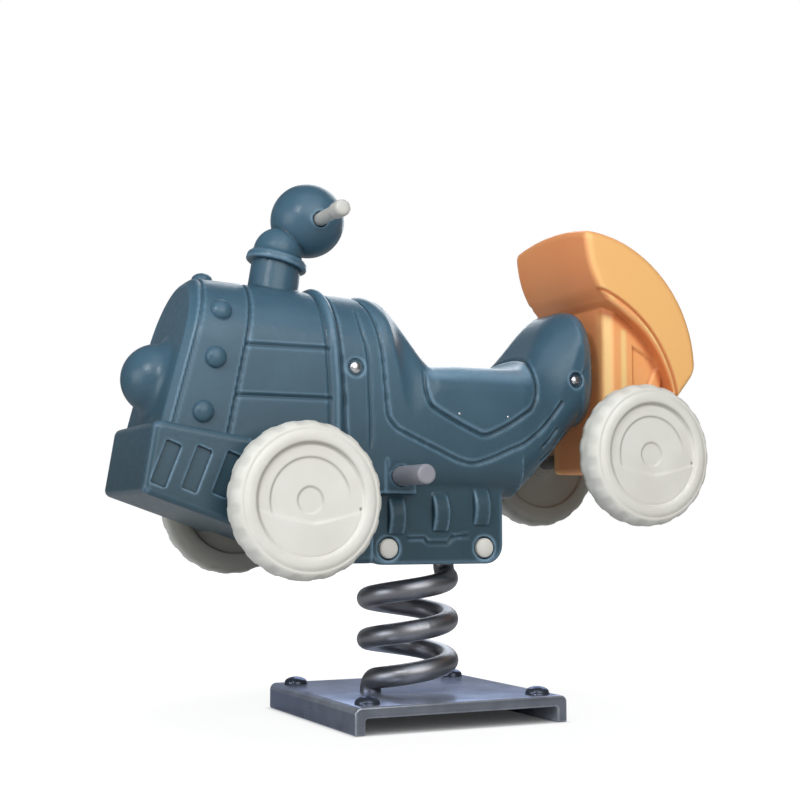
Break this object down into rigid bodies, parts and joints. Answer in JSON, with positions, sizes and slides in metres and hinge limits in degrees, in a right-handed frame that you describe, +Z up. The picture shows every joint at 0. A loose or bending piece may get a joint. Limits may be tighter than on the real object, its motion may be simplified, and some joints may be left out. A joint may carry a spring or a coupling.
{
  "type": "spring rider",
  "caption": "Ride-on toy engine with saddle, turning wheels and hooded tender, carried by a coil spring on a bolted steel base plate; a child sits on it and rocks",
  "frame": {"origin": "on the ground, below the middle of the base plate", "axes": "+X to the nose, +Y to the rider's left, +Z up"},
  "size_m": [0.9256, 0.379, 0.8041],
  "materials": {
    "shell_plastic": "moulded skin with a fine orange-peel grain",
    "tender_plastic": "moulded skin, soft sheen",
    "wheel_plastic": "moulded skin, soft sheen",
    "grip_plastic": "smooth",
    "footrest_plastic": "smooth",
    "spring_steel": "dark powder coat, glossy",
    "plate_steel": "slate powder coat, satin",
    "bright_steel": "zinc plated",
    "chrome": "polished",
    "brass": "turned"
  },
  "bodies": {
    "base": {"base_plate": "plate_steel", "anchor_nuts": "plate_steel", "lower_socket": "spring_steel", "lower_socket_screws": "bright_steel"},
    "spring": {"coil_spring": "spring_steel"},
    "rider": {"deck_bracket": "bright_steel", "upper_socket": "spring_steel", "upper_socket_screws": "bright_steel", "deck_bolts": "bright_steel", "deck_nuts": "bright_steel", "bolt_caps": "wheel_plastic", "saddle_shell": "shell_plastic", "boiler_shell": "shell_plastic", "boiler_screws": "chrome", "boiler_inserts": "brass", "tender_shell": "tender_plastic", "tender_screws": "chrome", "tender_inserts": "brass", "handle_bar": "bright_steel", "left_grip": "grip_plastic", "right_grip": "grip_plastic", "footrest_bar": "bright_steel", "left_footrest_sleeve": "footrest_plastic", "right_footrest_sleeve": "footrest_plastic", "front_axle": "bright_steel", "rear_axle": "bright_steel", "front_spacers": "spring_steel", "rear_spacers": "spring_steel", "axle_washers": "bright_steel", "axle_nuts": "bright_steel"},
    "front_left": {"front_left_wheel": "wheel_plastic", "front_left_hub_cap": "wheel_plastic"},
    "front_right": {"front_right_wheel": "wheel_plastic", "front_right_hub_cap": "wheel_plastic"},
    "rear_left": {"rear_left_wheel": "wheel_plastic", "rear_left_hub_cap": "wheel_plastic"},
    "rear_right": {"rear_right_wheel": "wheel_plastic", "rear_right_hub_cap": "wheel_plastic"}
  },
  "joints": [
    {"name": "rock_pitch", "type": "hinge", "parent": "base", "child": "spring", "pos_m": [0.009, 0, 0.1345], "axis": [0, 1, 0], "range_deg": [-12, 12], "stiffness_Nm_per_rad": 700, "deforming": ["coil_spring"]},
    {"name": "rock_roll", "type": "hinge", "parent": "spring", "child": "rider", "pos_m": [0.009, 0, 0.1345], "axis": [1, 0, 0], "range_deg": [-9, 9], "stiffness_Nm_per_rad": 700, "deforming": ["coil_spring"]},
    {"name": "front_left_spin", "type": "hinge", "parent": "rider", "child": "front_left", "pos_m": [0.242, 0.161, 0.322], "axis": [0, 1, 0], "continuous": true},
    {"name": "front_right_spin", "type": "hinge", "parent": "rider", "child": "front_right", "pos_m": [0.242, -0.161, 0.322], "axis": [0, 1, 0], "continuous": true},
    {"name": "rear_left_spin", "type": "hinge", "parent": "rider", "child": "rear_left", "pos_m": [-0.32, 0.161, 0.396], "axis": [0, 1, 0], "continuous": true},
    {"name": "rear_right_spin", "type": "hinge", "parent": "rider", "child": "rear_right", "pos_m": [-0.32, -0.161, 0.396], "axis": [0, 1, 0], "continuous": true}
  ]
}
